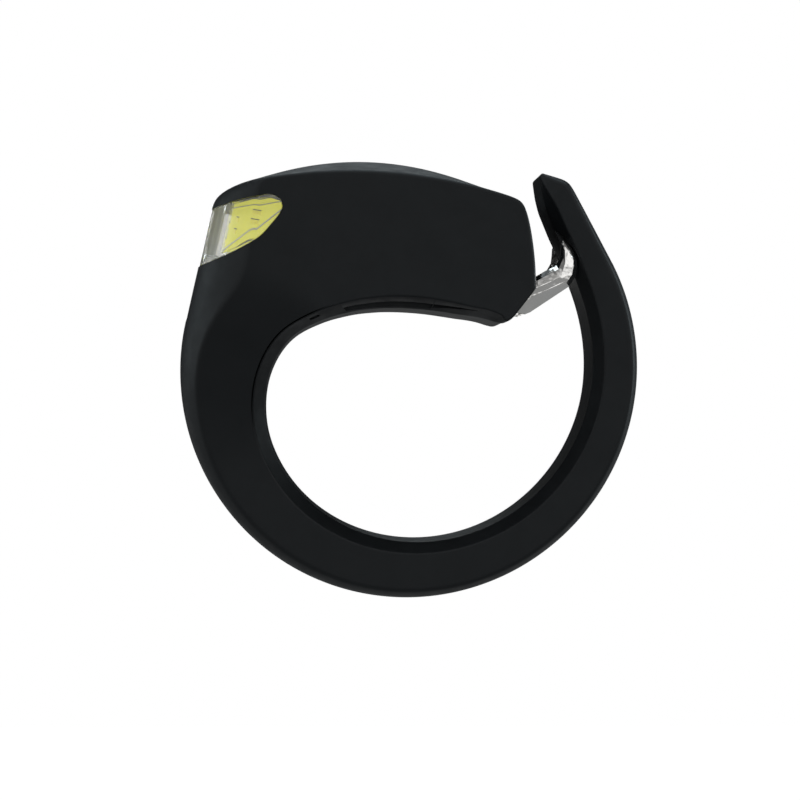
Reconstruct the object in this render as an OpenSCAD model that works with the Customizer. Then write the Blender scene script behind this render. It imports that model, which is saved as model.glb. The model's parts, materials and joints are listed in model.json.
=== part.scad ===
// Strap-on safety light for a 22 mm bar.
// A silicone jacket, moulded in one with its wrap-round strap, holds a small hard case with the
// electronics and a clear front lens. A pinned fork hook on the end of the housing catches the strap.
// +X runs from the lens to the hook, +Y across the bar, +Z up; the origin is the middle of the bar loop.
// The side outline is drawn in polar form about loop_hub: an angle gives one inner and one outer radius.

/* [Housing] */
// Width of the housing, along the bar
housing_w = 22; // [21.8:0.1:22.4]
// Height of the crown above the bar loop's middle
crown_z = 19.92; // [19.9:0.01:20]
// Radius of the crown, seen from the side
crown_r = 21.8; // [21.6:0.1:22]
// Clearance round the case inside the jacket
jacket_gap = 0.1; // [0.08:0.01:0.14]

/* [Strap] */
// Width of the strap
strap_w = 14; // [13.8:0.1:14.2]
// Half width of the strap's neck, between the hook's claws
neck_half = 5.7; // [5.6:0.1:5.8]
// Gap left between neighbouring strap lengths
strap_gap = 0.02; // [0.01:0.01:0.05]

/* [Lens] */
// How far the lens lies below the jacket's surface
lens_inset = 0.08; // [0.05:0.01:0.12]
// Thickness of clear plastic in front of the light
lens_wall = 1.5; // [1.4:0.1:1.7]

/* [Hook] */
// Radius of the hook's hinge pin
pin_r = 0.5; // [0.45:0.05:0.55]
// Half width of the hook over its two claws
hook_half = 7.3; // [7.2:0.1:7.4]
// Thickness of each claw
claw_t = 1.4; // [1.2:0.1:1.4]

/* [Case] */
// Wall of the hard case
case_wall = 0.9; // [0.8:0.1:1]
// Height of the line where the case splits
split_z = 13; // [12.8:0.1:13]
// Thickness of the seal in that line
seal_t = 0.4; // [0.3:0.1:0.5]

/* [Electronics] */
// Travel of the button
button_travel = 0.5; // [0.4:0.1:0.5]
// Thickness of the circuit board
board_t = 0.6; // [0.5:0.1:0.6]
// Thickness of the battery cell
cell_t = 2.9; // [2.6:0.1:2.9]

/* [Hidden] */
$fn = 48;
eps = 0.01;

// ---- Side outline ----
loop_hub = [-1.5, 4.2];
end_a = 25;                 // angle of the housing's end
root_a = 167;               // where the housing's front runs into the strap
head_a = 386.75;            // where the strap's outside turns straight
tip_a = 415;                // angle of the strap's tip
hinge_a = [218, 248, 278, 308, 338]; // where the strap bends
half_w = housing_w / 2;
half_s = strap_w / 2;

// angle, inner radius, half width, outer edge depth and width, inner chamfer depth and width
outline = [
  [25, 7.95, half_w, 4, 5, 0.25, 1],
  [29, 7.35, half_w, 4, 5, 0.8, 1.9],
  [45, 5.7, half_w, 4, 5, 0.9, 2],
  [65, 4.78, half_w, 4, 5, 0.9, 2],
  [90, 4.5, half_w, 4, 5, 0.9, 2],
  [115, 4.95, half_w, 4, 5, 0.9, 2],
  [135, 5.95, half_w, 4, 5, 0.9, 2],
  [150, 7.22, half_w - 0.1, 3.6, 5, 0.9, 2],
  [165, 8.85, half_w - 0.9, 2.15, 4.2, 0.9, 1.8],
  [180, 10.02, half_w - 2.2, 1.4, 3.2, 0.9, 1.6],
  [195, 10.88, half_s + 0.7, 1.15, 2.6, 0.9, 1.4],
  [210, 11.54, half_s + 0.1, 0.95, 2.2, 0.9, 1.3],
  [240, 12.4, half_s, 0.72, 1.9, 0.9, 1.2],
  [285, 13.2, half_s, 0.52, 1.7, 0.85, 1.2],
  [345, 14, half_s, 0.42, 1.6, 0.85, 1.2],
  [385, 14.45, half_s, 0.36, 1.4, 0.85, 1.2],
  [400, 15.16, half_s, 0.3, 1.2, 0.85, 1.2],
  [408, 16, half_s - 0.15, 0.27, 1, 0.8, 1.2],
  [411.5, 16.67, half_s - 0.4, 0.22, 0.9, 0.5, 1],
  [413.5, 17.22, half_s - 0.6, 0.12, 0.85, 0.2, 0.9],
  [415, 17.7, half_s - 0.8, 0.04, 0.8, 0.04, 0.8],
];
RADIUS = 1;
WIDTH = 2;
EDGE_D = 3;
EDGE_W = 4;
CHAMFER_D = 5;
CHAMFER_W = 6;

function row_of(a) = max([for (i = [0:len(outline) - 2]) if (i == 0 || a >= outline[i][0]) i]);
function step_slope(i, c) = (outline[i + 1][c] - outline[i][c]) / (outline[i + 1][0] - outline[i][0]);
function slope(i, c) =
  i == 0 ? step_slope(0, c)
  : i == len(outline) - 1 ? step_slope(i - 1, c)
  : (outline[i + 1][c] - outline[i - 1][c]) / (outline[i + 1][0] - outline[i - 1][0]);
// Smooth curve through one column of the outline, at angle a
function at(a, c) =
  let (i = row_of(a), h = outline[i + 1][0] - outline[i][0], t = (a - outline[i][0]) / h)
  outline[i][c] * (2 * t ^ 3 - 3 * t ^ 2 + 1) + h * slope(i, c) * (t ^ 3 - 2 * t ^ 2 + t)
  + outline[i + 1][c] * (3 * t ^ 2 - 2 * t ^ 3) + h * slope(i + 1, c) * (t ^ 3 - t ^ 2);

// Radius, from the hub, of a round edge and of a straight one facing direction n at distance d
function disc(a, centre, r) =
  let (d = centre - loop_hub, along = d.x * cos(a) + d.y * sin(a), across = d.x * sin(a) - d.y * cos(a))
  along + sqrt(r ^ 2 - across ^ 2);
function flat(a, n, d) = cos(a - n) > 0.1 ? d / cos(a - n) : 999;
// The smallest of several radii, with the corners between them rounded
function soft_min(list, p) = pow([for (r = list) pow(r, -p)] * [for (r = list) 1], -1 / p);

function edge_drop(a, y) =
  let (w = at(a, WIDTH), e = at(a, EDGE_W)) at(a, EDGE_D) * pow(max(0, (abs(y) - w + e) / e), 2);
function crown(a, u) =
  (1 - abs(u) ^ 3) * disc(a, [-4.97, crown_z - crown_r], crown_r) + abs(u) ^ 3 * disc(a, [-5.65, -20.1], 39);
function pod(a, y) =
  let (front = flat(a, 167.2, 16.83) - edge_drop(a, y),
       back = min(disc(a, [-17.7, 10.1], 26.08), flat(a, -37.7, 4.1)) - 0.35 * abs(y / half_w) ^ 4)
  soft_min([soft_min([crown(a, y / half_w), back], 48), front], 60);
function rim(a) = 17.21 + 0.32 * cos(a) + 0.1 * sin(2 * a);
function head(a) = soft_min([flat(a, 388, 17.57), flat(a, 433.3, 17.12)], 90);
function outer(a, y) =
  a < root_a ? pod(a, y) : (a < head_a ? rim(a) : head(a)) - edge_drop(a, y);

function place(a, r, y) = [loop_hub.x + r * cos(a), y, loop_hub.y + r * sin(a)];
across = [1, 0.95, 0.89, 0.82, 0.74, 0.64, 0.5, 0.28, 0];
// One closed cross-section of the jacket or strap at angle a, shrunk by s all round
function section(a, s) =
  let (w = at(a, WIDTH) - s, r = at(a, RADIUS) + s, c = at(a, CHAMFER_D), k = at(a, CHAMFER_W))
  concat([for (p = [[-w, r + c], [k - w, r], [w - k, r], [w, r + c]]) place(a, p[1], p[0])],
         [for (u = across) place(a, outer(a, u * (w + s)) - s, u * w)],
         [for (i = [len(across) - 2:-1:0]) place(a, outer(a, across[i] * (w + s)) - s, -across[i] * w)]);

// Angles of the cross-sections along a stretch, closer together at the housing's corners
turns = concat([end_a, 27.5, 31.2], [34:3:49], [51:1.5:60], [64:5:129], [131.5:1.5:152],
               [155:4:root_a - 2], [root_a], [171:4:head_a - 1], [head_a], [390:4:406],
               [407.5, 409.5, 411.5, 413, 414.2, tip_a]);
all_turns = [for (t = turns) if (is_list(t)) each t else if (is_num(t)) t else each [for (a = t) a]];
function stretch(a, b) = concat([a], [for (t = all_turns) if (t > a + 0.8 && t < b - 0.8) t], [b]);

// ---- Shared shapes ----
// A closed solid through a list of cross-sections
module skin(rings) {
  m = len(rings[0]);
  n = len(rings);
  polyhedron([for (r = rings) each r],
    concat([[for (k = [0:m - 1]) k]], [[for (k = [m - 1:-1:0]) (n - 1) * m + k]],
           [for (i = [0:n - 2], k = [0:m - 1])
             [i * m + k, (i + 1) * m + k, (i + 1) * m + (k + 1) % m, i * m + (k + 1) % m]]));
}
// Strap between two angles, as one swept solid
module sweep(a, b) {
  skin([for (t = stretch(a, b)) section(t, 0)]);
}
// Jacket between two angles, shrunk by s, as one convex block for each pair of cross-sections
module blocks(a, b, s = 0) {
  list = stretch(a, b);
  for (i = [0:len(list) - 2])
    hull() skin([section(list[i], s), section(list[i + 1], s)]);
}

// A side view outline, as thick as 2 * half across the bar
module slab(half, points) {
  rotate([90, 0, 0]) linear_extrude(2 * half, center = true) polygon(points);
}
// The same on both sides, from inner to outer
module cheeks(inner, outer_y, points) {
  for (side = [-1, 1])
    translate([0, side * (inner + outer_y) / 2, 0]) slab((outer_y - inner) / 2, points);
}
module along_y(r, from, to) {
  translate([0, from, 0]) rotate([-90, 0, 0]) cylinder(r = r, h = to - from);
}
module box(low, high) {
  translate(low) cube(high - low);
}

// ---- Case ----
case_x = [-10.4, 4.7];
case_half = 9.4;
roof = [-5, crown_z - crown_r, crown_r - 2.1];
floor_arc = [-4, -28.2, 38];
port_x = -4.5;
port_z = 12.9;
pivot = [6.2, 9.9];
function arc_z(x, arc, grow) = arc[1] + sqrt((arc[2] + grow) ^ 2 - (x - arc[0]) ^ 2);
function case_outline(grow) =
  let (lo = case_x[0] - grow, hi = case_x[1] + grow, n = 12, xs = [for (i = [0:n]) lo + (hi - lo) * i / n])
  concat([for (x = xs) [x, arc_z(x, floor_arc, -grow)]],
         [for (i = [n:-1:0]) [xs[i], arc_z(xs[i], roof, grow)]]);
screw_at = [[2.6, -7.2], [2.6, 7.2]];

// Way through for the flat cable, from the light to the board
module flex_way(half) {
  box([-12, -half, 15.05], [-9, half, 15.6]);
}
module case_block(grow) {
  slab(case_half + grow, case_outline(grow));
}
lug_in = 7.75;
module lugs(grow) {
  for (side = [-1, 1]) {
    from = side > 0 ? lug_in - grow : -case_half - grow;
    to = from + case_half - lug_in + 2 * grow;
    translate([pivot.x, 0, pivot.y]) along_y(1 + grow, from, to);
    box([case_x[1] - 0.5, from, pivot.y - 1 - grow], [pivot.x, to, pivot.y + 1 + grow]);
  }
}
module port_cut(grow, from, to) {
  box([port_x - 4.55 - grow, from, port_z - 1.7 - grow], [port_x + 4.55 + grow, to, port_z + 1.75 + grow]);
}
module case_hollow() {
  slab(case_half - case_wall, case_outline(-case_wall));
}
module bosses() {
  intersection() {
    case_block(0);
    for (p = screw_at)
      translate([p.x, p.y, 8]) cylinder(r = 1.5, h = 9);
  }
}
module case_shell() {
  difference() {
    union() {
      difference() {
        case_block(0);
        case_hollow();
      }
      bosses();
    }
    port_cut(0, 7, 12);
  }
}

module case_base() {
  color([0.12, 0.13, 0.14])
    difference() {
      union() {
        intersection() {
          case_shell();
          box([-15, -12, 5], [10, 12, split_z]);
        }
        lugs(0);
      }
      translate([pivot.x, 0, pivot.y]) along_y(pin_r + 0.02, -12, 12);
      for (p = screw_at)
        translate([p.x, p.y, 0]) {
          cylinder(r = 0.6, h = 20);
          cylinder(r = 1, h = 9.9);
        }
    }
}

module case_top() {
  color([0.12, 0.13, 0.14])
    difference() {
      intersection() {
        case_shell();
        box([-15, -12, split_z + seal_t], [10, 12, 25]);
      }
      for (p = screw_at)
        translate([p.x, p.y, 0]) cylinder(r = 0.55, h = 15.2);
      translate([button_x, 0, 0]) cylinder(r = 1.05, h = 25);
      flex_way(1.8);
    }
}

module case_seal() {
  color([0.75, 0.2, 0.12])
    difference() {
      box([case_x[0], -case_half, split_z], [case_x[1], case_half, split_z + seal_t]);
      box([case_x[0] + case_wall, case_wall - case_half, 0],
          [case_x[1] - case_wall, case_half - case_wall, 20]);
      port_cut(0, 7, 12);
    }
}

module case_screws() {
  color([0.7, 0.7, 0.72])
    for (p = screw_at)
      translate([p.x, p.y, 0])
        difference() {
          union() {
            translate([0, 0, 9.3]) cylinder(r = 0.9, h = 0.6);
            translate([0, 0, 9.3]) cylinder(r = 0.5, h = 5.7);
          }
          translate([0, 0, 9.2]) cylinder(r = 0.35, h = 0.4, $fn = 6);
        }
}

// ---- Light ----
front_tilt = 13.4;
front_mid = [-16.42, 14];
// Window in the side of the jacket, in the side view
leaf = [[-18, 11.45], [-16.9, 11.9], [-15.4, 12.46], [-13.9, 13.12], [-12.4, 13.97], [-11.5, 14.91],
        [-10.87, 15.7], [-10.64, 16.3], [-10.87, 16.84], [-11.6, 17.16], [-12.5, 17.04],
        [-13.9, 16.8], [-15.8, 16.27], [-18, 15.5]];
// The light itself, in the side view, and the hollow for it in the lens
wedge = [[-15.4, 12.6], [-14.43, 16.36], [-12.6, 16.82], [-11.6, 16.98], [-10.95, 16.76],
         [-10.78, 16.32], [-10.98, 15.82], [-11.6, 15.07], [-12.5, 14.11], [-13.95, 13.26]];
lens_hollow = [[-15.6, 12.2], [-14.54, 16.46], [-12.6, 16.91], [-11.6, 17.06], [-10.2, 17.06], [-10.2, 12.2]];

// Plan outline of the front at depth t below the lens's face, back to a depth of back
function front_plan(t, back) =
  let (w = half_w - t, e = 5 - 0.4 * t, n = 14, ys = [for (i = [-n:n]) w * i / n])
  concat([for (y = ys) [t + 3.7 * pow(max(0, (abs(y) - w + e) / e), 2), y]], [[back, w], [back, -w]]);
module front_block(t, back) {
  translate([front_mid.x, 0, front_mid.y]) rotate([0, front_tilt, 0])
    linear_extrude(12, center = true) polygon(front_plan(t, back));
}
// One layer of the light: the front between two depths, cut to the wedge
module light_layer(from, to) {
  intersection() {
    difference() {
      front_block(from, 8);
      front_block(to, 9);
    }
    slab(half_w, wedge);
  }
}

module lens() {
  color([0.85, 0.87, 0.86, 0.4])
    difference() {
      intersection() {
        blocks(118, 168, lens_inset);
        slab(half_w + 1, leaf);
      }
      intersection() {
        front_block(lens_wall, 8);
        slab(half_w, lens_hollow);
      }
    }
}
module led_carrier() {
  color([0.75, 0.76, 0.78])
    difference() {
      intersection() {
        front_block(2.45, 8);
        slab(half_w, wedge);
      }
      flex_way(1.7);
    }
}
module cob_board() {
  color("white") light_layer(2.12, 2.43);
}
module cob_phosphor() {
  color([0.78, 0.77, 0.36]) light_layer(1.7, 2.1);
}
// Dies in columns on the light, each [y, height of its upper die, height of its lower die]
die_columns = [[0, 0.9, -0.5], [1.5, 0.9, -0.5], [3, 0.9, -0.5], [4.5, 0.9, -0.5], [5.8, 1.4, 0.2],
               [6.9, 1.9, 1], [8, 2.7, 2]];
module led_dies() {
  color([0.95, 0.9, 0.4])
    intersection() {
      light_layer(1.62, 1.69);
      translate([front_mid.x, 0, front_mid.y]) rotate([0, front_tilt, 0])
        for (c = die_columns, side = c[0] > 0 ? [-1, 1] : [1], z = [c[1], c[2]])
          box([0, side * c[0] - 0.18, z - 0.3], [6, side * c[0] + 0.18, z + 0.3]);
    }
}

// ---- Electronics ----
board_z = 14.6;
board_top = board_z + board_t;
button_x = -5;
module main_board() {
  color([0.1, 0.35, 0.2])
    difference() {
      box([-9.3, -8.3, board_z], [2.8, 8.3, board_top]);
      for (p = screw_at)
        translate([p.x, p.y, 0]) cylinder(r = 1.65, h = 20);
    }
}
module on_board(x, y, size, drop = 0) {
  z = drop > 0 ? board_z - drop : board_top;
  box([x - size.x / 2, y - size.y / 2, z], [x + size.x / 2, y + size.y / 2, z + size.z]);
}
module controller_chip() {
  color([0.08, 0.08, 0.09]) on_board(-1, -4.5, [3, 3, 0.6]);
}
module charger_chip() {
  color([0.08, 0.08, 0.09]) on_board(-1, 4.6, [2, 2, 0.6]);
}
module inductor() {
  color([0.3, 0.3, 0.32]) on_board(-5.2, -5.6, [2.2, 2.2, 0.9]);
}
module chip_parts() {
  color([0.6, 0.5, 0.38]) {
    for (i = [0:3])
      on_board(-7.8, -4.5 + 1.1 * i, [1, 0.5, 0.45]);
    for (i = [0:3])
      on_board(0.9, -1.7 + 1.1 * i, [1, 0.5, 0.4]);
    for (i = [0:2])
      on_board(-7.4 + 1.5 * i, 5.6, [0.5, 1, 0.45]);
  }
}
module charge_led() {
  color([0.95, 0.95, 0.85]) on_board(-1, 7.6, [1, 0.5, 0.4]);
}
cell_z = 11.05;
module battery_cell() {
  color([0.72, 0.74, 0.77]) {
    box([-9.2, -8.2, cell_z], [0.2, 2.6, cell_z + cell_t]);
    box([0.2 - eps, -6.5, cell_z + 0.4], [0.9, 1, cell_z + cell_t - 0.4]);
  }
}
module battery_pad() {
  color([0.2, 0.2, 0.22]) box([-8.6, -7.4, 10.75], [-0.4, 1.8, cell_z - 0.02]);
}
// A lead out of the cell's end, up to the board's underside
module battery_lead(y) {
  lead_r = 0.25;
  bend_r = 0.6;
  low = 12.5;
  translate([0.92, y, low]) rotate([0, 90, 0]) cylinder(r = lead_r, h = 0.5);
  translate([1.42, y, low + bend_r]) rotate([90, 0, 0]) rotate([0, 0, -90])
    rotate_extrude(angle = 90) translate([bend_r, 0]) circle(r = lead_r);
  translate([1.42 + bend_r, y, low + bend_r]) cylinder(r = lead_r, h = board_z - low - bend_r - 0.02);
}
module battery_lead_red() {
  color([0.75, 0.1, 0.08]) battery_lead(-1);
}
module battery_lead_black() {
  color([0.08, 0.08, 0.08]) battery_lead(-4);
}
module led_flex() {
  color([0.8, 0.5, 0.15]) box([-11.8, -1.5, board_top + 0.02], [-8.6, 1.5, board_top + 0.17]);
}
port_low = board_z - 3.26;
module usb_shell() {
  color([0.7, 0.7, 0.72])
    difference() {
      box([port_x - 4.47, 3.1, port_low], [port_x + 4.47, 10.35, board_z]);
      box([port_x - 4.17, 3.6, port_low + 0.35], [port_x + 4.17, 11, board_z - 0.35]);
    }
}
module usb_tongue() {
  color([0.1, 0.1, 0.1])
    box([port_x - 3.3, 3.62, port_low + 1.28], [port_x + 3.3, 9.4, board_z - 1.28]);
}
switch_h = 1.1;
module switch_body() {
  color([0.1, 0.1, 0.1])
    difference() {
      on_board(button_x, 0, [3.2, 3.2, switch_h]);
      translate([button_x, 0, board_top + 0.15]) cylinder(r = 0.75, h = 2);
    }
}
plunger_low = board_top + switch_h - 0.35;
plunger_top = board_top + switch_h + 0.6;
pad_low = 18.85;
module switch_plunger() {
  color([0.85, 0.2, 0.15])
    translate([button_x, 0, plunger_low]) cylinder(r = 0.65, h = plunger_top - plunger_low);
}
module button_stem() {
  color([0.15, 0.15, 0.16])
    translate([button_x, 0, 0]) {
      translate([0, 0, plunger_top + 0.01]) cylinder(r = 0.95, h = pad_low - 0.4 - plunger_top);
      translate([0, 0, pad_low - 0.4]) cylinder(r = 1.7, h = 0.38);
    }
}
// Button outline, seen from above
module button_oval(grow) {
  translate([button_x, 0, pad_low - 0.6])
    linear_extrude(3) {
      for (side = [-1, 1])
        translate([0, side * 1.2]) circle(r = 2.3 + grow);
      square([4.6 + 2 * grow, 2.4], center = true);
    }
}
module button_pad() {
  color([0.14, 0.15, 0.16])
    intersection() {
      blocks(85, 125);
      button_oval(0);
      box([-12, -12, pad_low], [2, 12, 25]);
    }
}

// ---- Port flap, on the far side ----
flap_low = 10.5;
flap_high = 15.3;
flap_half = 5.4;
module flap_area(grow, from, to) {
  corner_r = 1.2;
  translate([port_x, to, (flap_low + flap_high) / 2]) rotate([90, 0, 0])
    linear_extrude(to - from) {
      for (x = [-1, 1], z = [-1, 1])
        translate([x * (flap_half - corner_r), z * ((flap_high - flap_low) / 2 - corner_r)])
          circle(r = corner_r + grow);
      square([2 * (flap_half + grow), flap_high - flap_low - 2 * corner_r], center = true);
      square([2 * (flap_half - corner_r), flap_high - flap_low + 2 * grow], center = true);
    }
}
module port_flap() {
  color([0.14, 0.15, 0.16]) flap_area(0, half_w - 0.55, half_w);
}

// ---- Jacket ----
notch = [[4.85, 9.9], [5, 10.9], [6, 11.5], [7.2, 12.3], [9.5, 12.6], [9.5, 6], [6.3, 6], [5.2, 8.7]];
// Way through the wall between the light and the case
light_way = [[-12.2, 14.6], [-12.2, 16.6], [-10.3, 16.9], [-10.3, 15]];
module silicone_jacket() {
  color([0.12, 0.13, 0.14])
    difference() {
      blocks(end_a, hinge_a[0]);
      case_block(jacket_gap);
      lugs(jacket_gap);
      slab(lug_in, notch);
      slab(half_w + 1, leaf);
      slab(half_w - 1.4, light_way);
      flap_area(0.1, case_half, half_w + 1);
      translate([port_x, 0, flap_high + 0.3]) along_y(1.4, half_w - 0.5, half_w + 1);
      button_oval(0.12);
      translate([button_x, 0, 16]) cylinder(r = 2, h = 3);
      side_slots();
    }
}
// Shallow slots in the chamfers along the underside
module side_slots() {
  for (side = [-1, 1])
    hull()
      for (x = [-5.6, 0.3])
        translate([x, side * 10, arc_z(x, [-4, -28.2, 37.15], 0)]) rotate([90 - side * 25, 0, 0])
          cylinder(r = 0.22, h = 1.6, center = true, $fn = 16);
}

// ---- Hook ----
claw = [[6.2, 11], [7.2, 11], [8.3, 11.2], [9.85, 11.98], [10.15, 12.5], [10.22, 13.1], [10.35, 13.85],
        [11.05, 13.2], [11.4, 12.5], [11.4, 11.9], [11.3, 11.2], [11, 10.45], [10, 9.8], [9.15, 9.3],
        [7.9, 8.45], [7.4, 8.3], [7, 8.4], [6.2, 8.8]];
web = [[6.2, 10.9], [7.3, 10.9], [8.9, 11.2], [9.4, 10.7], [9, 10], [7.7, 9], [6.2, 8.9]];
module hook() {
  color([0.85, 0.85, 0.84])
    difference() {
      union() {
        cheeks(hook_half - claw_t, hook_half, claw);
        slab(hook_half - claw_t + eps, web);
        translate([pivot.x, 0, pivot.y]) along_y(1.1, -hook_half, hook_half);
      }
      translate([pivot.x, 0, pivot.y]) along_y(pin_r + 0.05, -12, 12);
    }
}
module hook_pin() {
  color([0.7, 0.7, 0.72]) translate([pivot.x, 0, pivot.y]) along_y(pin_r, -9.2, 9.2);
}

// ---- Strap ----
// Degrees that leave strap_gap between neighbours at the strap's middle
gap_a = strap_gap / 15 * 180 / PI;
module strap_length(i) {
  color([0.12, 0.13, 0.14]) sweep(hinge_a[i] + gap_a, hinge_a[i + 1]);
}
// Room for the claws in the inner corners of the head, round the hook's pin
pocket_r = 5.98;
pocket = [[6.2, 10.2], [10.95, 10.25], [11.43, 11.08], [11.56, 11.9], [11.52, 12.5], [13, 14], [6.2, 20]];
module claw_pockets() {
  for (side = [-1, 1])
    intersection() {
      translate([pivot.x, side * (neck_half + half_w) / 2, pivot.y])
        along_y(pocket_r, (neck_half - half_w) / 2, (half_w - neck_half) / 2);
      slab(half_w, pocket);
    }
}
module strap_head() {
  color([0.12, 0.13, 0.14])
    difference() {
      sweep(hinge_a[4] + gap_a, tip_a);
      claw_pockets();
    }
}

silicone_jacket();
lens();
case_top();
case_base();
case_seal();
case_screws();
led_carrier();
cob_board();
cob_phosphor();
led_dies();
main_board();
controller_chip();
charger_chip();
chip_parts();
inductor();
charge_led();
battery_cell();
battery_pad();
battery_lead_red();
battery_lead_black();
led_flex();
usb_shell();
usb_tongue();
switch_body();
switch_plunger();
button_stem();
button_pad();
port_flap();
hook_pin();
hook();
strap_length(0);  // strap_length_1
strap_length(1);  // strap_length_2
strap_length(2);  // strap_length_3
strap_length(3);  // strap_length_4
strap_head();
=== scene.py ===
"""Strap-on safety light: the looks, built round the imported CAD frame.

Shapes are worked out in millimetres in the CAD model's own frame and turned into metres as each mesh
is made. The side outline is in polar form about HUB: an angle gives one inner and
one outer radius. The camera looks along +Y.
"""
import json
import math

import bmesh
import bpy
import numpy as np
from mathutils import Matrix, Vector
from mathutils.geometry import delaunay_2d_cdt

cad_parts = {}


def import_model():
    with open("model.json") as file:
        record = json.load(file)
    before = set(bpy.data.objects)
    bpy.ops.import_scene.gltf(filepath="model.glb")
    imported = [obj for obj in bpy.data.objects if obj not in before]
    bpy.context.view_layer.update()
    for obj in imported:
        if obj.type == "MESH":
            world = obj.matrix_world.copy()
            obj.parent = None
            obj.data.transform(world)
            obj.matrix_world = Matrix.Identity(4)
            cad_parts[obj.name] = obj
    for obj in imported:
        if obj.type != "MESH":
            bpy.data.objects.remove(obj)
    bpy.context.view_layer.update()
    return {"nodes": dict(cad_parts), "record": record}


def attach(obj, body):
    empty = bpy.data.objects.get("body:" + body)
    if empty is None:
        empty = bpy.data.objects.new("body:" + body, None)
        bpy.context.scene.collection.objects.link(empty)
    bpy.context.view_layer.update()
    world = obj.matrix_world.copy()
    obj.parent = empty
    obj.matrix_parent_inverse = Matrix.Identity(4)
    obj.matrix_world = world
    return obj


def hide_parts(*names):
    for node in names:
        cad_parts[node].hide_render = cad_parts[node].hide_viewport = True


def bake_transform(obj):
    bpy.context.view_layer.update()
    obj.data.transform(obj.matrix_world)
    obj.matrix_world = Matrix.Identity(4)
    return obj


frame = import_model()
MM = 0.001


# ---- Side outline, in mm ----
HUB = (-1.5, 4.2)
END_A = 25                  # angle of the housing's end
ROOT_A = 167                # where the housing's front runs into the strap
HEAD_A = 386.75             # where the strap's outside turns straight
TIP_A = 415                 # angle of the strap's tip
HINGES = (218, 248, 278, 308, 338)      # where the strap bends
HINGE_SPAN = 30             # angle of strap that one hinge piece covers
HALF_W = 11                 # half width of the housing
HALF_S = 7                  # half width of the strap
CROWN_Z = 19.92             # top of the crown
CROWN_R = 21.8              # radius of its arch
CROWN = (-4.97, CROWN_Z - CROWN_R)      # centre of that arch, at mid width
SHOULDER, SHOULDER_R = (-5.65, -20.1), 39       # flatter arch at the sides
BACK, BACK_R = (-17.7, 10.1), 26.08     # arch of the housing's end face
STRAP_R = 17.21             # the strap's outside, which is nearly round
# straight faces, each by the angle that it faces and its distance from the hub
FRONT_FACE = (167.2, 16.83)
END_FACE = (-37.7, 4.1)
HEAD_FACES = ((388, 17.57), (433.3, 17.12))
LENS_A = (118, 168)         # angles between which the lens lies
PAD_A = (85, 125)           # and the button's pad
RING_STEP = 0.75            # angle between cross-sections

# angle, inner radius, half width, outer edge depth and width, inner chamfer depth and width
OUTLINE = np.array([
    [25, 7.95, HALF_W, 4, 5, 0.25, 1],
    [29, 7.35, HALF_W, 4, 5, 0.8, 1.9],
    [45, 5.7, HALF_W, 4, 5, 0.9, 2],
    [65, 4.78, HALF_W, 4, 5, 0.9, 2],
    [90, 4.5, HALF_W, 4, 5, 0.9, 2],
    [115, 4.95, HALF_W, 4, 5, 0.9, 2],
    [135, 5.95, HALF_W, 4, 5, 0.9, 2],
    [150, 7.22, HALF_W - 0.1, 3.6, 5, 0.9, 2],
    [165, 8.85, HALF_W - 0.9, 2.15, 4.2, 0.9, 1.8],
    [180, 10.02, HALF_W - 2.2, 1.4, 3.2, 0.9, 1.6],
    [195, 10.88, HALF_S + 0.7, 1.15, 2.6, 0.9, 1.4],
    [210, 11.54, HALF_S + 0.1, 0.95, 2.2, 0.9, 1.3],
    [240, 12.4, HALF_S, 0.72, 1.9, 0.9, 1.2],
    [285, 13.2, HALF_S, 0.52, 1.7, 0.85, 1.2],
    [345, 14, HALF_S, 0.42, 1.6, 0.85, 1.2],
    [385, 14.45, HALF_S, 0.36, 1.4, 0.85, 1.2],
    [400, 15.16, HALF_S, 0.3, 1.2, 0.85, 1.2],
    [408, 16, HALF_S - 0.15, 0.27, 1, 0.8, 1.2],
    [411.5, 16.67, HALF_S - 0.4, 0.22, 0.9, 0.5, 1],
    [413.5, 17.22, HALF_S - 0.6, 0.12, 0.85, 0.2, 0.9],
    [415, 17.7, HALF_S - 0.8, 0.04, 0.8, 0.04, 0.8],
])
RADIUS, WIDTH, EDGE_D, EDGE_W, CHAMFER_D, CHAMFER_W = range(1, 7)


def column(a, c):
    """Smooth curve through one column of the outline, at angle a."""
    x, y = OUTLINE[:, 0], OUTLINE[:, c]
    slopes = np.empty(len(x))
    slopes[1:-1] = (y[2:] - y[:-2]) / (x[2:] - x[:-2])
    slopes[0] = (y[1] - y[0]) / (x[1] - x[0])
    slopes[-1] = (y[-1] - y[-2]) / (x[-1] - x[-2])
    i = int(np.clip(np.searchsorted(x, a, side="right") - 1, 0, len(x) - 2))
    h = x[i + 1] - x[i]
    t = (a - x[i]) / h
    return (y[i] * (2 * t**3 - 3 * t**2 + 1) + h * slopes[i] * (t**3 - 2 * t**2 + t)
            + y[i + 1] * (3 * t**2 - 2 * t**3) + h * slopes[i + 1] * (t**3 - t**2))


def cosd(a):
    return math.cos(math.radians(a))


def sind(a):
    return math.sin(math.radians(a))


def disc(a, centre, r):
    """Radius, from the hub, of a round edge."""
    dx, dz = centre[0] - HUB[0], centre[1] - HUB[1]
    along = dx * cosd(a) + dz * sind(a)
    across = dx * sind(a) - dz * cosd(a)
    return along + math.sqrt(r * r - across * across)


def flat(a, n, d):
    """Radius, from the hub, of a straight edge facing direction n at distance d."""
    return d / cosd(a - n) if cosd(a - n) > 0.1 else 999


def soft_min(values, p):
    """The least of some radii, with the corners between them rounded off; less so for a larger p."""
    return sum(v ** -p for v in values) ** (-1 / p)


def edge_drop(a, y):
    """How far the outside falls away toward the sides, at angle a and distance y across."""
    w, e = column(a, WIDTH), column(a, EDGE_W)
    return column(a, EDGE_D) * max(0, (abs(y) - w + e) / e) ** 2


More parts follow.
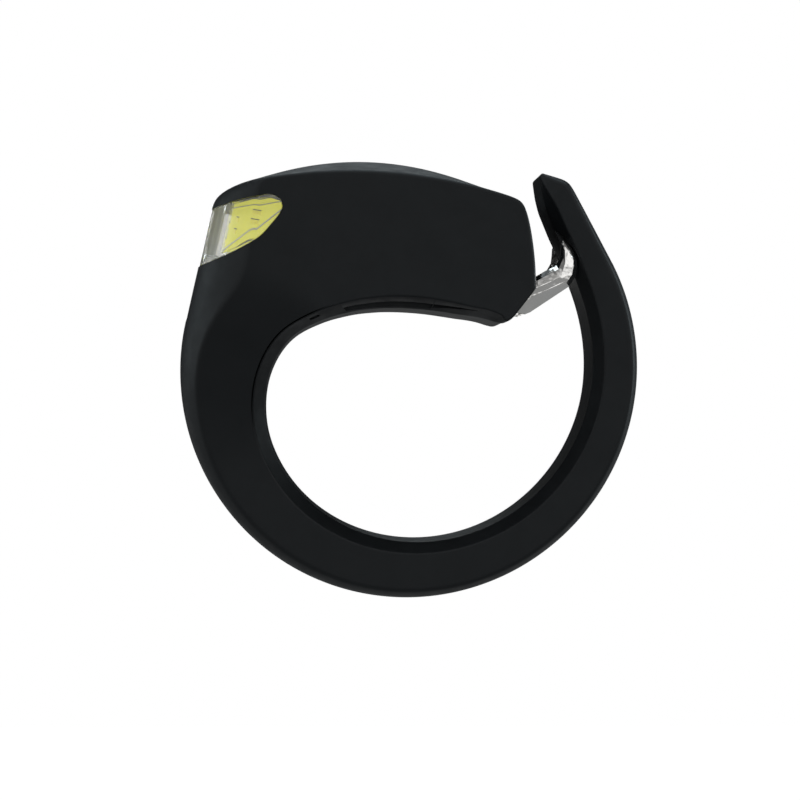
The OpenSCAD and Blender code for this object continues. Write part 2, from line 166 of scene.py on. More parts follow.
def outer(a, y):
    """Outer radius at angle a and distance y across."""
    if a >= ROOT_A:
        rim = STRAP_R + 0.32 * cosd(a) + 0.1 * sind(2 * a)
        head = soft_min([flat(a, n, d) for n, d in HEAD_FACES], 100)
        return (rim if a < HEAD_A else head) - edge_drop(a, y)
    u = min(1, abs(y) / HALF_W)
    crown = (1 - u**3) * disc(a, CROWN, CROWN_R) + u**3 * disc(a, SHOULDER, SHOULDER_R)
    front = flat(a, *FRONT_FACE) - edge_drop(a, y)
    back = min(disc(a, BACK, BACK_R), flat(a, *END_FACE)) - 0.35 * u**4
    return soft_min([soft_min([crown, back], 48), front], 60)


# ---- Cross-sections ----
ROUND_INNER = 0.12          # rounding between the inner face and its chamfer
ROUND_SIDE = 0.1            # rounding between the chamfer and the side
ROUND_OUTER = 0.2           # rounding between the side and the outer face
ROUND_END = 0.2             # rounding of the housing's end
ROUND_TIP = 0.1             # rounding of the strap's tip
ROUND_STEPS = 4
END_R, TIP_R = 8.5, 17.8    # radii at which the end's and the tip's rounding is measured


def toward(p, q, d):
    """The point at distance d from p on the way to q."""
    p, q = np.array(p), np.array(q)
    return p + (q - p) * d / np.linalg.norm(q - p)


def rounded(before, corner, after):
    """Points of a rounded corner, with one held just outside it on each side."""
    corner = np.array(corner)
    points = []
    for t in np.linspace(0, 1, ROUND_STEPS + 1):
        points.append((1 - t) ** 2 * before + 2 * t * (1 - t) * corner + t * t * after)
    return [corner + 1.5 * (before - corner)] + points + [corner + 1.5 * (after - corner)]


def section(a, inset=0.0):
    """One closed cross-section at angle a as (across, radius) pairs, shrunk by inset all round."""
    w = column(a, WIDTH) - inset
    r = column(a, RADIUS) + inset
    c, k = column(a, CHAMFER_D), column(a, CHAMFER_W)

    def skin_at(y):
        return np.array([y, outer(a, y * (w + inset) / w) - inset])

    inner, ridge, lip, edge = (np.array([0, r]), np.array([w - k, r]), np.array([w, r + c]), skin_at(w))
    room = min(1, (edge[1] - lip[1]) / 0.5)     # less rounding where the strap thins out
    bend = rounded(toward(ridge, inner, ROUND_INNER), ridge, toward(ridge, lip, ROUND_INNER))
    rim = rounded(toward(lip, ridge, ROUND_SIDE), lip, toward(lip, edge, ROUND_SIDE * room))
    crest = rounded(toward(edge, lip, ROUND_OUTER * room), edge, skin_at(w - ROUND_OUTER))
    half = [inner, np.array([(w - k) / 2, r])] + bend + [(bend[-1] + rim[0]) / 2] + rim
    half += [rim[-1] + (crest[0] - rim[-1]) * t for t in np.linspace(0, 1, 8)[1:-1]]
    half += crest[:-1]
    half += [skin_at(u * (w - 1.5 * ROUND_OUTER)) for u in np.linspace(1, 0, 18)]
    return half + [np.array([-p[0], p[1]]) for p in half[-2:0:-1]]


def place(a, r, y):
    """The point at angle a, radius r and distance y across."""
    return (HUB[0] + r * cosd(a), y, HUB[1] + r * sind(a))


def ring(a, inset=0.0):
    return [place(a, r, y) for y, r in section(a, inset)]


def rings(a, b, step, inset=0.0):
    """Cross-sections from a to b, closed with a rounded end at the housing's end and the strap's tip."""
    made = [ring(t, inset) for t in np.linspace(a, b, max(2, round((b - a) / step) + 1))]
    if a == END_A:
        made = rounded_end(END_A, END_R, 1, ROUND_END) + made[2:]
    if b == TIP_A:
        made = made[:-2] + rounded_end(TIP_A, TIP_R, -1, ROUND_TIP)[::-1]
    return made


def rounded_end(a, r, sign, size):
    """Cross-sections that round an end off, from the outermost inwards."""
    reach = math.degrees(size / r)
    steps = np.linspace(90, 0, 6)
    return [ring(a + sign * reach * (1 - sind(t)), size * (1 - cosd(t))) for t in steps]


# ---- Mesh tools ----
SHARP = 33                  # degrees past which an edge is left sharp


def new_object(name, points, faces):
    """An object in the scene from points in mm."""
    mesh = bpy.data.meshes.new(name)
    mesh.from_pydata([Vector(p) * MM for p in points], [], faces)
    obj = bpy.data.objects.new(name, mesh)
    bpy.context.scene.collection.objects.link(obj)
    outward(obj)
    return obj


def outward(obj):
    """Merges double points and turns every face outwards."""
    bm = bmesh.new()
    bm.from_mesh(obj.data)
    bmesh.ops.remove_doubles(bm, verts=bm.verts, dist=1e-7)
    bmesh.ops.recalc_face_normals(bm, faces=bm.faces)
    bm.to_mesh(obj.data)
    bm.free()


def skin(name, loops):
    """A closed solid through a list of closed loops of points."""
    n, m = len(loops), len(loops[0])
    faces = [tuple(range(m)), tuple((n - 1) * m + k for k in range(m))]
    for i in range(n - 1):
        for k in range(m):
            j = (k + 1) % m
            faces.append((i * m + k, i * m + j, (i + 1) * m + j, (i + 1) * m + k))
    return new_object(name, [p for loop in loops for p in loop], faces)


def prism(name, outline, low, high, to_point=lambda x, z, y: (x, y, z)):
    """An outline in the side view, made solid between two distances across."""
    m = len(outline)
    points = [to_point(x, z, low) for x, z in outline] + [to_point(x, z, high) for x, z in outline]
    faces = [tuple(range(m)), tuple(range(m, 2 * m))]
    faces += [(k, (k + 1) % m, m + (k + 1) % m, m + k) for k in range(m)]
    return new_object(name, points, faces)


def plan_prism(name, outline, low, high):
    """An outline seen from above, made solid between two heights."""
    return prism(name, outline, low, high, lambda x, y, z: (x, y, z))


def rod(name, x, z, r, low, high, sides=48):
    """A cylinder across the bar."""
    turn = np.linspace(0, 2 * math.pi, sides, endpoint=False)
    return prism(name, [(x + r * math.cos(t), z + r * math.sin(t)) for t in turn], low, high)


def bake(obj):
    """Applies the object's modifiers to its mesh."""
    graph = bpy.context.evaluated_depsgraph_get()
    made = bpy.data.meshes.new_from_object(obj.evaluated_get(graph))
    obj.modifiers.clear()
    obj.data = made


def combine(obj, tool, how):
    """Cuts, adds or keeps what is shared with a tool, which is then gone."""
    change = obj.modifiers.new(how, "BOOLEAN")
    change.operation = how
    change.solver = "EXACT"
    change.object = tool
    bake(obj)
    bpy.data.objects.remove(tool)
    return obj


def cut(obj, *tools):
    """Cuts tools away, one after another."""
    for tool in tools:
        combine(obj, tool, "DIFFERENCE")
    return obj


def bevel(obj, width, segments=2, angle=40):
    """Rounds the edges that are sharper than an angle."""
    change = obj.modifiers.new("bevel", "BEVEL")
    change.width = width * MM
    change.segments = segments
    change.limit_method = "ANGLE"
    change.angle_limit = math.radians(angle)
    change.harden_normals = False
    bake(obj)
    return obj


def smooth(obj, angle=SHARP):
    """Shades the piece smooth, apart from its sharp edges."""
    bm = bmesh.new()
    bm.from_mesh(obj.data)
    bmesh.ops.dissolve_degenerate(bm, dist=1e-7, edges=bm.edges)
    for f in bm.faces:
        f.smooth = True
    limit = math.radians(angle)
    for e in bm.edges:
        e.smooth = len(e.link_faces) != 2 or e.calc_face_angle() < limit
    bm.to_mesh(obj.data)
    bm.free()
    return obj


def curve_through(points, steps=6):
    """A smooth open curve through points."""
    p = [np.array(q, float) for q in points]
    p = [2 * p[0] - p[1]] + p + [2 * p[-1] - p[-2]]
    made = []
    for i in range(1, len(p) - 2):
        for t in np.linspace(0, 1, steps, endpoint=False):
            a, b, c, d = p[i - 1:i + 3]
            made.append(0.5 * (2 * b + (c - a) * t + (2 * a - 5 * b + 4 * c - d) * t**2
                               + (3 * b - a - 3 * c + d) * t**3))
    return made + [p[-2]]


def left_of(v):
    """Unit direction to the left of a direction in the plane."""
    return np.array([-v[1], v[0]]) / np.linalg.norm(v)


def shrunk(outline, d):
    """A closed outline moved in by d."""
    p = np.array(outline)
    area = sum(p[i - 1][0] * p[i][1] - p[i][0] * p[i - 1][1] for i in range(len(p)))
    before, after = p - np.roll(p, 1, 0), np.roll(p, -1, 0) - p
    normals = []
    for one, two in zip(before, after):
        n = left_of(one) + left_of(two)
        normals.append(n / max(np.linalg.norm(n), 1e-9))
    return p + np.array(normals) * d * (1 if area > 0 else -1)


# ---- Materials ----
NOISE_RANGE = (0.3, 0.7)    # where most of a noise's values lie


def material(name, color, rough, metallic=0.0, **more):
    """A Principled material; more holds other values of the shader's own sockets."""
    m = bpy.data.materials.new(name)
    m.use_nodes = True
    shader = m.node_tree.nodes["Principled BSDF"]
    shader.inputs["Base Color"].default_value = (*color, 1)
    shader.inputs["Roughness"].default_value = rough
    shader.inputs["Metallic"].default_value = metallic
    for key, value in more.items():
        shader.inputs[key.replace("_", " ")].default_value = value
    return m


def noise(m, scale, detail=3.0, stretch=(1, 1, 1)):
    """Noise with a scale in features per mm, in the object's own frame."""
    nodes, links = m.node_tree.nodes, m.node_tree.links
    where = nodes.new("ShaderNodeTexCoord")
    sized = nodes.new("ShaderNodeMapping")
    sized.inputs["Scale"].default_value = [scale / MM * s for s in stretch]
    grain = nodes.new("ShaderNodeTexNoise")
    grain.inputs["Scale"].default_value = 1
    grain.inputs["Detail"].default_value = detail
    links.new(where.outputs["Object"], sized.inputs["Vector"])
    links.new(sized.outputs["Vector"], grain.inputs["Vector"])
    return grain.outputs["Fac"]


def ramp(m, source, low, high):
    """Runs from one colour to another over the middle of the noise."""
    node = m.node_tree.nodes.new("ShaderNodeValToRGB")
    for stop, position, color in zip(node.color_ramp.elements, NOISE_RANGE, (low, high)):
        stop.position = position
        stop.color = (*color, 1)
    m.node_tree.links.new(source, node.inputs["Fac"])
    return node.outputs["Color"]


def map_range(tree, source, ins, outs):
    """Runs from one number to another as a value runs between two others."""
    node = tree.nodes.new("ShaderNodeMapRange")
    node.inputs["From Min"].default_value, node.inputs["From Max"].default_value = ins
    node.inputs["To Min"].default_value, node.inputs["To Max"].default_value = outs
    tree.links.new(source, node.inputs["Value"])
    return node


def span(m, source, low, high):
    """Runs from one number to another with the noise."""
    return map_range(m.node_tree, source, NOISE_RANGE, (low, high)).outputs["Result"]


def feed(m, source, socket):
    """Links a value or colour to a socket of the material's shader."""
    m.node_tree.links.new(source, m.node_tree.nodes["Principled BSDF"].inputs[socket])


def bump(m, source, height, strength=1.0, onto=None):
    """Adds relief, with its height in mm."""
    node = m.node_tree.nodes.new("ShaderNodeBump")
    node.inputs["Strength"].default_value = strength
    node.inputs["Distance"].default_value = height * MM
    m.node_tree.links.new(source, node.inputs["Height"])
    if onto:
        m.node_tree.links.new(onto, node.inputs["Normal"])
    feed(m, node.outputs["Normal"], "Normal")
    return node.outputs["Normal"]


def silicone():
    """Black satin rubber: a fine grain, and a finish that is a little patchy."""
    m = material("satin_silicone", (0.0078, 0.009, 0.0102), 0.5, Specular_IOR_Level=0.25,
                 Specular_Tint=(0.93, 0.98, 1, 1))
    feed(m, ramp(m, noise(m, 0.35, 4), (0.0069, 0.008, 0.0091), (0.0087, 0.01, 0.0113)), "Base Color")
    feed(m, span(m, noise(m, 0.9, 5), 0.4, 0.52), "Roughness")
    grain = bump(m, noise(m, 14, 2), 0.006, 0.5)
    bump(m, noise(m, 1.1, 2), 0.02, 0.08, onto=grain)
    return m


def clear_plastic():
    """Clear plastic. Its low IOR stands for two faces that bend light back again."""
    m = material("clear_polycarbonate", (0.97, 0.97, 0.96), 0.06, IOR=1.2, Transmission_Weight=0.85)
    bump(m, noise(m, 0.5, 2), 0.02, 0.3)
    return m


def phosphor():
    """Yellow layer over the dies, with a painted glow that makes it brighter than the lamps alone would."""
    # The emission here is a painted glow on the unlit phosphor.
    m = material("yellow_phosphor", (0.5, 0.49, 0.075), 0.6, Specular_IOR_Level=0.2,
                 Emission_Color=(1, 0.98, 0.04, 1), Emission_Strength=0.5)
    feed(m, ramp(m, noise(m, 1.2, 5), (0.46, 0.46, 0.055), (0.54, 0.52, 0.07)), "Base Color")
    bump(m, noise(m, 3, 3), 0.01, 0.4)
    return m


def moulded(name, color, rough=0.5, grain_scale=6, **more):
    """Plastic or rubber with a fine grain and a slightly uneven finish."""
    m = material(name, color, rough, **more)
    low, high = [tuple(c * f for c in color) for f in (0.88, 1.1)]
    feed(m, ramp(m, noise(m, 0.5, 4), low, high), "Base Color")
    feed(m, span(m, noise(m, 1.5, 4), rough - 0.06, rough + 0.08), "Roughness")
    bump(m, noise(m, grain_scale, 2), 0.008, 0.5)
    return m


def polished_metal():
    """Bright plating over a slightly wavy casting."""
    m = material("polished_metal", (0.85, 0.84, 0.82), 0.08, 1.0)
    feed(m, ramp(m, noise(m, 0.8, 4), (0.8, 0.79, 0.76), (0.88, 0.87, 0.86)), "Base Color")
    feed(m, span(m, noise(m, 2, 5), 0.05, 0.13), "Roughness")
    waves = bump(m, noise(m, 0.9, 2), 0.1, 0.8)
    bump(m, noise(m, 5, 3), 0.004, 0.4, onto=waves)
    return m


def metal(name, color, rough, stretch=(1, 1, 1), scale=3.0, height=0.004):
    """Metal with fine marks along one direction."""
    m = material(name, color, rough, 1.0)
    low, high = [tuple(min(1, c * f) for c in color) for f in (0.92, 1.04)]
    feed(m, ramp(m, noise(m, 0.8, 4), low, high), "Base Color")
    feed(m, span(m, noise(m, scale, 5, stretch), rough * 0.7, rough * 1.5), "Roughness")
    bump(m, noise(m, scale * 2, 3, stretch), height, 0.4)
    return m


MATERIALS = {
    "silicone": silicone(),
    "clear_plastic": clear_plastic(),
    "case_plastic": moulded("black_case_plastic", (0.02, 0.02, 0.022), 0.45),
    "seal_rubber": moulded("seal_rubber", (0.42, 0.06, 0.03), 0.6),
    "steel": metal("brushed_steel", (0.6, 0.6, 0.62), 0.25, (1, 8, 1)),
    "carrier_aluminium": metal("cast_aluminium", (0.78, 0.79, 0.8), 0.35, (1, 1, 1), 4, 0.01),
    "white_board": moulded("white_solder_mask", (0.8, 0.8, 0.78), 0.4),
    "phosphor": phosphor(),
    # The dies' emission is a painted glow: they shine though nothing lights them.
    "led_die": moulded("led_die", (0.78, 0.72, 0.03), 0.2, Emission_Color=(1, 0.93, 0.04, 1),
                       Emission_Strength=0.35),
    "board_green": moulded("green_solder_mask", (0.02, 0.15, 0.06), 0.35),
    "chip_black": moulded("chip_epoxy", (0.02, 0.02, 0.02), 0.55),
    "ceramic": moulded("chip_ceramic", (0.45, 0.33, 0.2), 0.4),
    "ferrite": moulded("ferrite", (0.12, 0.12, 0.13), 0.5),
    "cell_foil": metal("cell_foil", (0.6, 0.62, 0.64), 0.3, (1, 1, 1), 1.0, 0.03),
    "foam": moulded("foam", (0.05, 0.05, 0.05), 0.9, 3),
    "lead_red": moulded("red_insulation", (0.5, 0.02, 0.02), 0.4),
    "lead_black": moulded("black_insulation", (0.02, 0.02, 0.02), 0.4),
    "flex_amber": moulded("polyimide_film", (0.6, 0.28, 0.05), 0.25),
    "hook_chrome": polished_metal(),
}


def finish_piece(obj, slot, *nodes):
    """Gives a piece the material of a slot, and hides the CAD nodes that it stands for."""
    obj.data.materials.clear()
    obj.data.materials.append(MATERIALS[slot])
    if nodes:
        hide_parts(*nodes)
    return obj


def dress_cad_nodes():
    """Gives every CAD node the material of its slot."""
    for row in frame["record"]["subparts"]:
        node = frame["nodes"][row["node"]]
        node.data.materials.clear()
        node.data.materials.append(MATERIALS[row["material_slot"]])


# ---- Housing, inside and front, in mm ----
CASE_X = (-10.4, 4.7)       # the case's ends
CASE_HALF = 9.4             # and its half width
CASE_ROOF = (-5, CROWN_Z - CROWN_R, CROWN_R - 2.1)      # x, z and radius of the arch of its roof
CASE_FLOOR = (-4, -28.2, 38)                            # and of its floor
GAP = 0.1                   # between the case and the jacket
PIVOT = (6.2, 9.9)          # the hook's pin
LUG_R = 1                   # round end of the case's two lugs, which hold the pin
LUG_IN = 7.75               # distance across to a lug's inner face
CLEAR = 1                   # how far a cutter runs past what it cuts
ABOVE = 22                  # a height above everything
BUTTON_X = -5
BUTTON_HALF = (2.3, 3.5)
BUTTON_CORNER = 2.29
BUTTON_GAP = 0.12
PAD_LOW = 18.85             # underside of the soft pad
STEM_R = 2                  # room for the stem below it
PORT_X = -4.5
FLAP_LOW, FLAP_HIGH, FLAP_HALF = 10.5, 15.3, 5.4
FLAP_CORNER = 1.2
FLAP_GAP = 0.1
FLAP_THICK = 0.55
SCOOP_R = 1.4               # finger scoop above the flap
FRONT_TILT = math.radians(13.4)         # how far the lens's face leans
FRONT_MID = (-16.42, 14)                # its middle
SWEEP, SWEEP_W = 3.7, 5     # how far its sides sweep back, and over what width
LENS_THICK = 1.5
FRONT_REACH = 6             # how far above and below its middle the front is worked out
FRONT_BACK = 8              # and how far behind its face
# outlines in the side view: room for the hook, and for the light's carrier
NOTCH = [(4.85, 9.9), (5, 10.9), (6, 11.5), (7.2, 12.3), (9.5, 12.6), (9.5, 6), (6.3, 6), (5.2, 8.7)]
LIGHT_WAY = [(-12.2, 14.6), (-12.2, 16.6), (-10.3, 16.9), (-10.3, 15)]
LIGHT_WAY_HALF = HALF_W - 1.4
# the lens's window, the light behind it, and the hollow in the lens
LEAF = [np.array((-18, 11.45))] + curve_through([
    (-16.9, 11.9), (-15.4, 12.46), (-13.9, 13.12), (-12.4, 13.97), (-11.5, 14.91), (-10.87, 15.7),
    (-10.64, 16.3), (-10.87, 16.84), (-11.6, 17.16), (-12.5, 17.04), (-13.9, 16.8), (-15.8, 16.27),
], 8) + [np.array((-18, 15.5))]
WEDGE = [(-15.4, 12.6), (-14.43, 16.36), (-12.6, 16.82), (-11.6, 16.98), (-10.95, 16.76), (-10.78, 16.32),
         (-10.98, 15.82), (-11.6, 15.07), (-12.5, 14.11), (-13.95, 13.26)]
LENS_HOLLOW = [(-15.6, 12.2), (-14.54, 16.46), (-12.6, 16.91), (-11.6, 17.06), (-10.2, 17.06), (-10.2, 12.2)]


def arc_z(x, arc, grow):
    """Height of an arch at x, with its radius grown."""
    return arc[1] + math.sqrt((arc[2] + grow) ** 2 - (x - arc[0]) ** 2)


def case_cavity():
    """Room for the case."""
    lo, hi = CASE_X[0] - GAP, CASE_X[1] + GAP
    xs = np.linspace(lo, hi, 25)
    under = [(x, arc_z(x, CASE_FLOOR, -GAP)) for x in xs]
    over = [(x, arc_z(x, CASE_ROOF, GAP)) for x in xs[::-1]]
    return prism("cavity", under + over, -CASE_HALF - GAP, CASE_HALF + GAP)


def lug_room(side):
    """Room for the lug of the case on one side."""
    near, far = sorted((side * (LUG_IN - GAP), side * (CASE_HALF + GAP)))
    turn = np.radians(np.linspace(-90, 90, 25))
    r = LUG_R + GAP
    outline = [(PIVOT[0] + r * math.cos(t), PIVOT[1] + r * math.sin(t)) for t in turn]
    back = CASE_X[1] - 0.5
    return prism("lug_room", outline + [(back, PIVOT[1] + r), (back, PIVOT[1] - r)], near, far)


def rounded_box(half_x, half_z, r, steps=8):
    """Outline of a rounded rectangle about nought."""
    made = []
    for sx, sz, start in ((1, 1, 0), (-1, 1, 90), (-1, -1, 180), (1, -1, 270)):
        for t in np.linspace(start, start + 90, steps):
            made.append((sx * (half_x - r) + r * cosd(t), sz * (half_z - r) + r * sind(t)))
    return made


def flap_outline(grow):
    mid, half = (FLAP_LOW + FLAP_HIGH) / 2, (FLAP_HIGH - FLAP_LOW) / 2
    box = rounded_box(FLAP_HALF + grow, half + grow, FLAP_CORNER + grow)
    return [(PORT_X + x, mid + z) for x, z in box]


def button_outline(grow):
    half_x, half_y = BUTTON_HALF
    box = rounded_box(half_x + grow, half_y + grow, BUTTON_CORNER + grow, 16)
    return [(BUTTON_X + x, y) for x, y in box]


def front_sweep(y, t):
    """How far back the surface at depth t below the lens's face lies, at distance y across."""
    w, e = HALF_W - t, SWEEP_W - 0.4 * t
    return t + SWEEP * max(0, (abs(y) - w + e) / e) ** 2


def front_plan(t, back):
    """Plan outline of the front at depth t below the lens's face, back to a depth of back."""
    w = HALF_W - t
    made = [(front_sweep(y, t), y) for y in np.linspace(-w, w, 121)]
    return made + [(back, w), (back, -w)]


def front_block(t, back):
    """The front behind depth t, in the light's tilted frame."""
    obj = plan_prism("front", front_plan(t, back), -FRONT_REACH, FRONT_REACH)
    turn = Matrix.Rotation(FRONT_TILT, 4, "Y")
    turn.translation = Vector((FRONT_MID[0], 0, FRONT_MID[1])) * MM
    obj.data.transform(turn)
    return obj


def light_layer(name, near, far, outline):
    """One layer of the light between two depths, cut to an outline in the side view."""
    obj = front_block(near, FRONT_BACK)
    combine(obj, front_block(far, FRONT_BACK + CLEAR), "DIFFERENCE")
    combine(obj, prism("outline", outline, -HALF_W, HALF_W), "INTERSECT")
    obj.name = name
    return obj


# ---- Jacket and strap ----
JACKET_END = HINGES[0] - HINGE_SPAN / 2         # where the hinge pieces take over
HEAD_START = HINGES[-1] + HINGE_SPAN / 2        # and where the strap's head does
SLOT_DEPTH = (9.2, 12)      # distance across at the inner and outer end of the slots' cutters
GROOVE_DEPTH = (6.4, 12)
GROOVE_W = 0.12


def slot(side, a, b, lows, highs):
    """Cutter for a slot in one side, from angle a to b, between two heights above the inner edge."""
    near, far = sorted(side * d for d in SLOT_DEPTH)
    loops = []
    for t in np.linspace(a, b, 40):
        share = (t - a) / (b - a)
        r = column(t, RADIUS)
        under, over = (r + v[0] + (v[1] - v[0]) * share for v in (lows, highs))
        loops.append([place(t, under, near), place(t, over, near),
                      place(t, over, far), place(t, under, far)])
    return skin("slot", loops)


def groove(side, a, b):
    """Cutter for the fine gap along the inner edge of one side, tapered at both ends."""
    near, far = sorted(side * d for d in GROOVE_DEPTH)
    loops = []
    for t in np.linspace(a, b, 60):
        share = min(1, 5 * min(t - a, b - t) / (b - a) + 0.05)
        half = GROOVE_W / 2 * share
        r = column(t, RADIUS) + column(t, CHAMFER_D) + 0.1
        loops.append([place(t, r - half, near), place(t, r + half, near),
                      place(t, r + half, far), place(t, r - half, far)])
    return skin("fine_gap", loops)


def side_details(side):
    """Slots, a fine step and the fine gap along the inner edge of one side."""
    return [slot(side, 67.2, 135.8, (0.13, 0.13), (0.5, 0.5)),
            slot(side, 148.2, 152.9, (0.42, 0.42), (0.62, 0.62)),
            slot(side, 38.6, 66.4, (0.62, 0.2), (0.66, 0.5)),
            groove(side, 139, 202.5)]


def jacket():
    """Housing skin with the strap's root, with room for everything that it holds."""
    obj = skin("jacket", rings(END_A, JACKET_END, RING_STEP))
    for side in (-1, 1):
        cut(obj, *side_details(side))
    past = HALF_W + CLEAR
    cut(obj, case_cavity(), lug_room(1), lug_room(-1), prism("notch", NOTCH, -LUG_IN, LUG_IN))
    cut(obj, prism("window", LEAF, -past, past))
    cut(obj, prism("light_way", LIGHT_WAY, -LIGHT_WAY_HALF, LIGHT_WAY_HALF))
    cut(obj, prism("flap_room", flap_outline(FLAP_GAP), CASE_HALF, past))
    cut(obj, rod("finger_room", PORT_X, FLAP_HIGH + 0.3, SCOOP_R, HALF_W - 0.5, past))
    cut(obj, plan_prism("button_room", button_outline(BUTTON_GAP), PAD_LOW - 0.6, ABOVE))
    turn = np.linspace(0, 2 * math.pi, 40, endpoint=False)
    stem = [(BUTTON_X + STEM_R * math.cos(t), STEM_R * math.sin(t)) for t in turn]
    cut(obj, plan_prism("stem_room", stem, 16, 19))
    smooth(obj)
    finish_piece(obj, "silicone", "silicone_jacket")
    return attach(obj, "housing")


def strap_bends():
    """One piece of strap round each hinge, not attached to any body."""
    nodes = ["strap_length_1", "strap_length_2", "strap_length_3", "strap_length_4"]
    for i, hinge in enumerate(HINGES):
        piece = skin(f"strap_bend_{i + 1}", rings(hinge - HINGE_SPAN / 2, hinge + HINGE_SPAN / 2, 1))
        smooth(piece)
        finish_piece(piece, "silicone", *nodes[i:i + 1])
        r = (column(hinge, RADIUS) + outer(hinge, 0)) / 2
        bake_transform(piece)


# ---- Strap head ----
NECK_HALF = 5.7             # half width of the strap between the two claws
POCKET_R = 5.98             # reach of the claws' pockets from the hook's pin
POCKET = [(6.2, 10.2), (10.95, 10.25), (11.43, 11.08), (11.56, 11.9), (11.52, 12.5), (13, 14), (6.2, 20)]


def strap_head():
    """The strap's last length, with a pocket on each side for a claw."""
    obj = skin("strap_head_skin", rings(HEAD_START, TIP_A, RING_STEP))
    for side in (-1, 1):
        near, far = sorted((side * NECK_HALF, side * HALF_W))
        pocket = rod("pocket", *PIVOT, POCKET_R, near, far, 160)
        combine(pocket, prism("reach", POCKET, near - CLEAR, far + CLEAR), "INTERSECT")
        cut(obj, pocket)
    smooth(obj)
    finish_piece(obj, "silicone", "strap_head")
    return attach(obj, "strap_5")


# ---- Lens and light ----
LENS_INSET = 0.08           # of the lens's face below the jacket's
LENS_GAP = 0.04             # round its rim
BOARD_DEPTHS = (2.12, 2.43) # depths of the light's layers below the lens's face
PHOSPHOR_DEPTHS = (1.7, 2.1)
DIE_DEPTHS = (1.63, 1.69)
MARK_DEPTHS = (1.6, 1.69)
DAM_DEPTHS = (1.6, 1.72)
DIE_HALF = (0.07, 0.17)
MARK_HALF = (0.04, 0.035)
MARK_RISE = 0.22            # of a die's bond mark above its middle
# distance across, and the heights of two dies
DIE_COLUMNS = ((0, 0.9, -0.5), (1.5, 0.9, -0.5), (3, 0.9, -0.5), (4.5, 0.9, -0.5), (5.8, 1.4, 0.2),
               (6.9, 1.9, 1), (8, 2.7, 2))


def lens():
    """Clear cover that fills the window, hollow behind its face."""
    obj = skin("clear_lens", rings(*LENS_A, RING_STEP, LENS_INSET))
    past = HALF_W + CLEAR
    combine(obj, prism("window", shrunk(LEAF, LENS_GAP), -past, past), "INTERSECT")
    hollow = front_block(LENS_THICK, FRONT_BACK)
    combine(hollow, prism("hollow", LENS_HOLLOW, -HALF_W, HALF_W), "INTERSECT")
    cut(obj, hollow)
    smooth(obj)
    finish_piece(obj, "clear_plastic", "lens")
    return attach(obj, "housing")


def light_layers():
    """The phosphor, and the board that it lies on."""
    layers = (("phosphor_strip", PHOSPHOR_DEPTHS, "phosphor", "cob_phosphor"),
              ("light_board", BOARD_DEPTHS, "white_board", "cob_board"))
    for name, (near, far), slot_name, node in layers:
        layer = smooth(light_layer(name, near, far, WEDGE))
        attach(finish_piece(layer, slot_name, node), "housing")


def on_light(y, z, depth):
    """Point on the light's front at a distance across and a height, at a depth below the lens's face."""
    x = front_sweep(y, depth)
    tilt_c, tilt_s = math.cos(FRONT_TILT), math.sin(FRONT_TILT)
    return (FRONT_MID[0] + x * tilt_c + z * tilt_s, y, FRONT_MID[1] - x * tilt_s + z * tilt_c)


def small_block(y, z, half, depths):
    """Points of a small block that lies on the light's front."""
    corners = [(-1, -1), (1, -1), (1, 1), (-1, 1)]
    return [on_light(y + a * half[0], z + b * half[1], d) for d in depths for a, b in corners]


def many(name, blocks):
    """Small blocks, with their edges rounded, as one piece."""
    points, faces = [], []
    for block_points in blocks:
        n = len(points)
        points += block_points
        faces += [tuple(n + k for k in f) for f in ((0, 1, 2, 3), (4, 5, 6, 7), (0, 1, 5, 4), (1, 2, 6, 5),
                                                    (2, 3, 7, 6), (3, 0, 4, 7))]
    return smooth(bevel(new_object(name, points, faces), 0.012, 2))


def led_dies():
    """Dies in pairs across the light, each with a dark bond mark at its top."""
    where = [(side * y, z) for y, high, low in DIE_COLUMNS for side in ((-1, 1) if y else (1,))
             for z in (high, low)]
    dies = many("led_die_row", [small_block(y, z, DIE_HALF, DIE_DEPTHS) for y, z in where])
    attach(finish_piece(dies, "led_die", "led_dies"), "housing")
    marks = many("bond_marks", [small_block(y, z + MARK_RISE, MARK_HALF, MARK_DEPTHS) for y, z in where])
    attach(finish_piece(marks, "chip_black"), "housing")


def dam(name, start, end, thick):
    """A thin white line round the light, drawn in the side view."""
    start, end = np.array(start), np.array(end)
    off = left_of(end - start) * thick / 2
    strip = light_layer(name, *DAM_DEPTHS, [start - off, end - off, end + off, start + off])
    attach(finish_piece(smooth(strip), "white_board"), "housing")


# ---- Hook ----
HOOK_HALF = 7.3             # distance across to a claw's outer plane
CLAW_IN = 5.9               # and to its inner face
BARREL_R = 1.1              # the barrel round the pin
BARREL_HALF = 6.9
BORE_R = 0.55
MARK_LOW = 0.16             # how deep the ovals and grooves reach below the outer plane


def arc_points(r, depth):
    """Round end of the claw, from its underside to its top."""
    return [(PIVOT[0] + r * cosd(t), PIVOT[1] + r * sind(t), depth) for t in np.linspace(247.5, 112.5, 7)]


